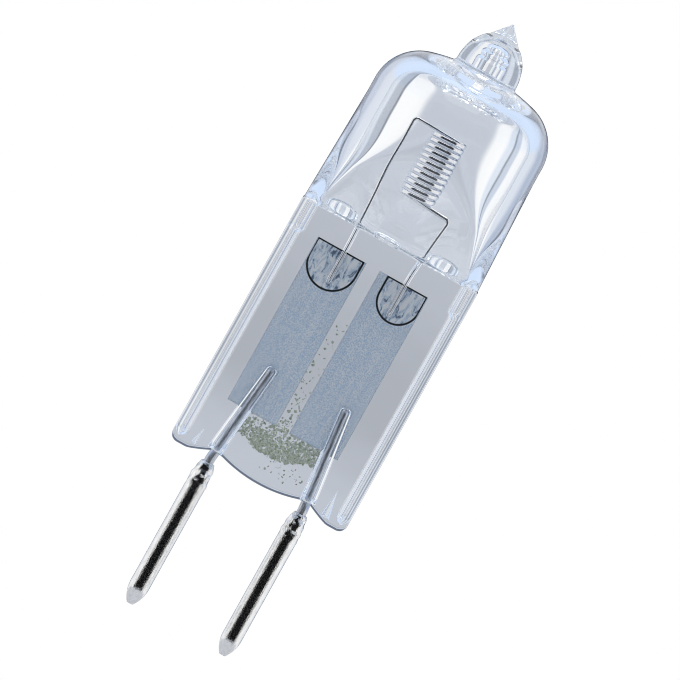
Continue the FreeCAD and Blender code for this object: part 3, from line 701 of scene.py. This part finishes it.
top = add(tree, "ShaderNodeMapRange", {"Value": up_pin, "From Min": -3.0 * MM, "From Max": -0.9 * MM,
                                       "To Min": 0.1, "To Max": 1.2}).outputs["Result"]
height = add(tree, "ShaderNodeMath", {0: dents, 1: top, 2: lines}, operation="MULTIPLY_ADD").outputs[0]
ripple = add(tree, "ShaderNodeBump", {"Height": height, "Strength": 0.7, "Distance": 0.00003}).outputs["Normal"]
metal = add(tree, "ShaderNodeBsdfPrincipled", {"Base Color": tone, "Metallic": 1.0, "Roughness": 0.12,
                                               "Normal": ripple})
tree.links.new(metal.outputs["BSDF"], out.inputs["Surface"])

# The dents are three crossing waves round and along the neck, turned differently on each pin.
turn = np.linspace(0, 2 * math.pi, pin_columns, endpoint=False)
for side, sign in (("left", -1), ("right", 1)):
    height, spin = np.broadcast_arrays(pin_profile[:, 1:], turn + sign)
    squeeze = np.clip((height - squeeze_low) / squeeze_rise, 0, 1)
    squeeze = squeeze * np.clip((squeeze_top - height) / squeeze_fall, 0, 1)
    dented = np.sin(3 * spin + 4 * height) * 0.35 + np.sin(5 * spin - 7 * height + 1) * 0.35
    dented = dented + np.sin(2 * spin + 13 * height) * 0.3
    radius = pin_profile[:, :1] * (1 + dent_depth * squeeze * dented)
    radius[-1] = lead_r
    rings = np.stack(np.broadcast_arrays(sign * pin_x + radius * np.cos(turn), radius * np.sin(turn), height), axis=-1)
    pin = piece("nickel_pin_" + side, [shell(rings)], nickel)
    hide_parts("contact_pin_" + side)

# Studio: a pale floor under the bulb and a white tent all round it. The camera sees the tent plain white, and
# it lights the bulb evenly; clear glass and bright metal see its pale and dark panels instead, which draw
# their edges. Which panels they see goes by the ray: how often mirrored, and how many glass surfaces crossed.
scene = bpy.context.scene
scene.view_settings.view_transform = "Standard"
scene.cycles.glossy_bounces = 48
scene.cycles.transmission_bounces = 48
scene.cycles.max_bounces = 64
scene.cycles.filter_width = 1.0

# Matt pale paint, lifted a little for the eye and not for the light that it gives back.
floor_r, floor_z, floor_corners, floor_lift = 0.13, -0.05, 96, 0.03
floor_paint, tree, out = new_material("pale_floor")
rays = add(tree, "ShaderNodeLightPath").outputs
seen = add(tree, "ShaderNodeMath", {0: rays["Is Camera Ray"], 1: rays["Is Glossy Ray"]},
           operation="MAXIMUM").outputs[0]
seen = add(tree, "ShaderNodeMath", {0: seen, 1: rays["Is Transmission Ray"]}, operation="MAXIMUM").outputs[0]
lift = add(tree, "ShaderNodeMath", {0: seen, 1: floor_lift}, operation="MULTIPLY").outputs[0]
glow = add(tree, "ShaderNodeEmission", {"Color": (1, 1, 1, 1), "Strength": lift})
matt = add(tree, "ShaderNodeBsdfDiffuse", {"Color": linear("#C0C4CA")})
both = add(tree, "ShaderNodeAddShader", {0: glow.outputs[0], 1: matt.outputs[0]})
tree.links.new(both.outputs[0], out.inputs["Surface"])
turn = np.linspace(0, 2 * math.pi, floor_corners, endpoint=False)
disc = np.stack([floor_r * np.cos(turn), floor_r * np.sin(turn), np.full(floor_corners, floor_z)], axis=-1)
mesh = bpy.data.meshes.new("floor")
mesh.from_pydata(disc.tolist(), [], [list(range(floor_corners))])
mesh.materials.append(floor_paint)
floor = bpy.data.objects.new("floor", mesh)
scene.collection.objects.link(floor)

world = bpy.data.worlds.new("white_tent")
scene.world = world
world.use_nodes = True
tree = world.node_tree
tree.nodes.clear()
rays = add(tree, "ShaderNodeLightPath").outputs
way = add(tree, "ShaderNodeSeparateXYZ", {0: add(tree, "ShaderNodeTexCoord").outputs["Generated"]}).outputs
azimuth = add(tree, "ShaderNodeMath", {0: way["X"], 1: way["Y"]}, operation="ARCTAN2").outputs[0]

# Panels seen straight through the glass, by degrees from the middle of each of the tent's four sides.
side_half = 45
through_panels = [
    (-45, "#A3ACBB"), (-36, "#A3ACBB"), (-32, "#DFE8F4"), (-24, "#DFE8F4"), (-20, "#A9B1BF"), (-14, "#A9B1BF"),
    (-13.6, "#69717F"), (-12.8, "#69717F"), (-12, "#FFFFFF"), (-4.8, "#FFFFFF"), (-4, "#CDD2DB"),
    (4, "#CDD2DB"), (4.8, "#FFFFFF"), (7.5, "#FFFFFF"), (8.5, "#DDE6F2"), (10.4, "#DDE6F2"), (10.9, "#838D9D"),
    (11.5, "#838D9D"), (12, "#C3CEDF"), (14.5, "#C3CEDF"), (16, "#FFFFFF"), (25, "#FFFFFF"), (29, "#DFE8F4"),
    (33, "#DFE8F4"), (37, "#A3ACBB"), (45, "#A3ACBB")]
folded = add(tree, "ShaderNodeMath", {0: azimuth, 1: math.pi / 4, 2: -math.pi / 4}, operation="WRAP").outputs[0]
folded = add(tree, "ShaderNodeMapRange", {"Value": folded, "From Min": -math.pi / 4,
                                          "From Max": math.pi / 4}).outputs["Result"]
behind = add(tree, "ShaderNodeValToRGB", {"Fac": folded},
             stops=[((at + side_half) / (2 * side_half), code) for at, code in through_panels]).outputs["Color"]

# They are shaded by height, more for the pinch than for the bell, where a ray crosses more than three surfaces.
shade_low, shade_high, pinch_surfaces = -0.08, -0.02, 3.0
height = add(tree, "ShaderNodeMapRange", {"Value": way["Z"], "From Min": shade_low,
                                          "From Max": shade_high}).outputs["Result"]
solid = add(tree, "ShaderNodeValToRGB", {"Fac": height},
            stops=[(0.08, "#F4F4F4"), (0.21, "#DCDCDC"), (0.31, "#DCDCDC"), (0.57, "#F2F2F2"),
                   (0.83, "#FFFFFF")]).outputs["Color"]
hollow = add(tree, "ShaderNodeValToRGB", {"Fac": height},
             stops=[(0.3, "#F8F8F8"), (0.45, "#F2F2F2"), (0.62, "#FFFFFF")]).outputs["Color"]
walls = add(tree, "ShaderNodeMath", {0: rays["Transmission Depth"], 1: pinch_surfaces},
            operation="GREATER_THAN").outputs[0]
shade = add(tree, "ShaderNodeMix", {"Factor": walls, "A": solid, "B": hollow}, data_type="RGBA").outputs["Result"]
behind = add(tree, "ShaderNodeVectorMath", {0: behind, 1: shade}, operation="MULTIPLY").outputs["Vector"]

# Panels seen in a mirror, by degrees from the tent's back.
mirror_panels = [
    (-180, "#FFFFFF"), (-62, "#FFFFFF"), (-52, "#DDE4EF"), (-32, "#DDE2EC"), (-27, "#D2DAE8"), (-14, "#CAD2E2"),
    (-8, "#B8C2D4"), (-5, "#6A7282"), (5, "#6A7282"), (8, "#A2AEC4"), (14, "#ACB8CE"), (27, "#B4C0D6"),
    (32, "#C8D0DE"), (40, "#DDE4EF"), (52, "#DDE4EF"), (62, "#FFFFFF"), (180, "#FFFFFF")]
around = add(tree, "ShaderNodeMapRange", {"Value": azimuth, "From Min": -math.pi,
                                          "From Max": math.pi}).outputs["Result"]
mirrored = add(tree, "ShaderNodeValToRGB", {"Fac": around},
               stops=[((at + 180) / 360, code) for at, code in mirror_panels]).outputs["Color"]

# Bare surfaces mirror with no glass before them; the filament mirrors once, behind four surfaces of glass.
wire_surfaces = 4.0
away = add(tree, "ShaderNodeMath", {0: azimuth}, operation="ABSOLUTE").outputs[0]
bare = add(tree, "ShaderNodeMath", {0: rays["Transmission Depth"], 1: 0.5}, operation="LESS_THAN").outputs[0]
cased = add(tree, "ShaderNodeMath", {0: rays["Transmission Depth"], 1: wire_surfaces, 2: 0.5},
            operation="COMPARE").outputs[0]
once = add(tree, "ShaderNodeMath", {0: rays["Glossy Depth"], 1: 1.5}, operation="LESS_THAN").outputs[0]
wires = add(tree, "ShaderNodeMath", {0: cased, 1: once}, operation="MULTIPLY").outputs[0]
metal = add(tree, "ShaderNodeMath", {0: wires, 1: bare}, operation="MAXIMUM").outputs[0]

# Bare surfaces mirror the back only where they turn away from the eye, and get a thin dark outline from it.
outline_full, outline_gone = math.radians(14), math.radians(28)
rim = add(tree, "ShaderNodeMapRange", {"Value": away, "From Min": outline_full, "From Max": outline_gone,
                                       "To Min": 1.0, "To Max": 0.0}).outputs["Result"]
rim = add(tree, "ShaderNodeMath", {0: rim, 1: bare}, operation="MULTIPLY").outputs[0]
mirrored = add(tree, "ShaderNodeMix", {"Factor": rim, "A": mirrored, "B": linear("#2A2E38")},
               data_type="RGBA").outputs["Result"]

# The tent's top and foot are blue-white to glass and white to metal, and start higher up for the filament.
steep_low, steep_high, wire_low_more, wire_high_more = 0.12, 0.25, 0.28, 0.25
steep = add(tree, "ShaderNodeMath", {0: way["Z"]}, operation="ABSOLUTE").outputs[0]
low = add(tree, "ShaderNodeMath", {0: wires, 1: wire_low_more, 2: steep_low}, operation="MULTIPLY_ADD").outputs[0]
high = add(tree, "ShaderNodeMath", {0: wires, 1: wire_high_more, 2: steep_high}, operation="MULTIPLY_ADD").outputs[0]
steep = add(tree, "ShaderNodeMapRange", {"Value": steep, "From Min": low, "From Max": high}).outputs["Result"]
above = add(tree, "ShaderNodeMix", {"Factor": metal, "A": linear("#D3E5FF"), "B": (1, 1, 1, 1)},
            data_type="RGBA").outputs["Result"]
mirrored = add(tree, "ShaderNodeMix", {"Factor": steep, "A": mirrored, "B": above}, data_type="RGBA").outputs["Result"]

# The tent's front, where the camera stands, is pale grey-blue to glass and black to metal.
front_from, front_full = math.radians(118), math.radians(130)
front = add(tree, "ShaderNodeMapRange", {"Value": away, "From Min": front_from,
                                         "From Max": front_full}).outputs["Result"]
dark = add(tree, "ShaderNodeMix", {"Factor": metal, "A": linear("#AFBBCF"), "B": linear("#0A0A0C")},
           data_type="RGBA").outputs["Result"]
mirrored = add(tree, "ShaderNodeMix", {"Factor": front, "A": mirrored, "B": dark}, data_type="RGBA").outputs["Result"]

# All together: the camera and matt surfaces get plain white, the latter a little less of it.
matt_level = 0.95
bounced = add(tree, "ShaderNodeMath", {0: rays["Glossy Depth"], 1: 0.5}, operation="GREATER_THAN").outputs[0]
tent = add(tree, "ShaderNodeMix", {"Factor": bounced, "A": behind, "B": mirrored}, data_type="RGBA").outputs["Result"]
seen = add(tree, "ShaderNodeMath", {0: rays["Is Glossy Ray"], 1: rays["Is Transmission Ray"]},
           operation="MAXIMUM").outputs[0]
tent = add(tree, "ShaderNodeMix", {"Factor": seen, "A": (1, 1, 1, 1), "B": tent}, data_type="RGBA").outputs["Result"]
seen = add(tree, "ShaderNodeMath", {0: rays["Is Camera Ray"], 1: seen}, operation="MAXIMUM").outputs[0]
level = add(tree, "ShaderNodeMapRange", {"Value": seen, "To Min": matt_level, "To Max": 1.0}).outputs["Result"]
sky = add(tree, "ShaderNodeBackground", {"Color": tent, "Strength": level})
tree.links.new(sky.outputs[0], add(tree, "ShaderNodeOutputWorld").inputs["Surface"])

lamp = bpy.data.lights.new("overhead_softbox", "AREA")
lamp.energy = 0.4
lamp.size = 0.3
softbox = bpy.data.objects.new("overhead_softbox", lamp)
softbox.location = (-0.05, -0.1, 0.4)
softbox.rotation_euler = (math.radians(14), math.radians(-7), 0)
scene.collection.objects.link(softbox)

# Camera: square on to the pinch's flat, a little above, far off with a long lens, rolled so that the
# bulb leans to the right.
elevation, roll = math.radians(3.5), math.radians(29.2)
distance, field = 0.6, 0.0407
sensor = 36.0
aim = np.array([0.000144, 0, 0.010004])
right = np.array([1.0, 0, 0])
up = np.array([0, math.sin(elevation), math.cos(elevation)])
back = np.array([0, -math.cos(elevation), math.sin(elevation)])
lens = bpy.data.cameras.new("long_lens")
lens.sensor_width = sensor
lens.lens = sensor * distance / field
lens.clip_start = 0.05
camera = bpy.data.objects.new("camera", lens)
scene.collection.objects.link(camera)
pose = np.eye(4)
pose[:3, 0] = math.cos(roll) * right + math.sin(roll) * up
pose[:3, 1] = math.cos(roll) * up - math.sin(roll) * right
pose[:3, 2] = back
pose[:3, 3] = aim + back * distance
camera.matrix_world = mathutils.Matrix(pose.tolist())
scene.camera = camera
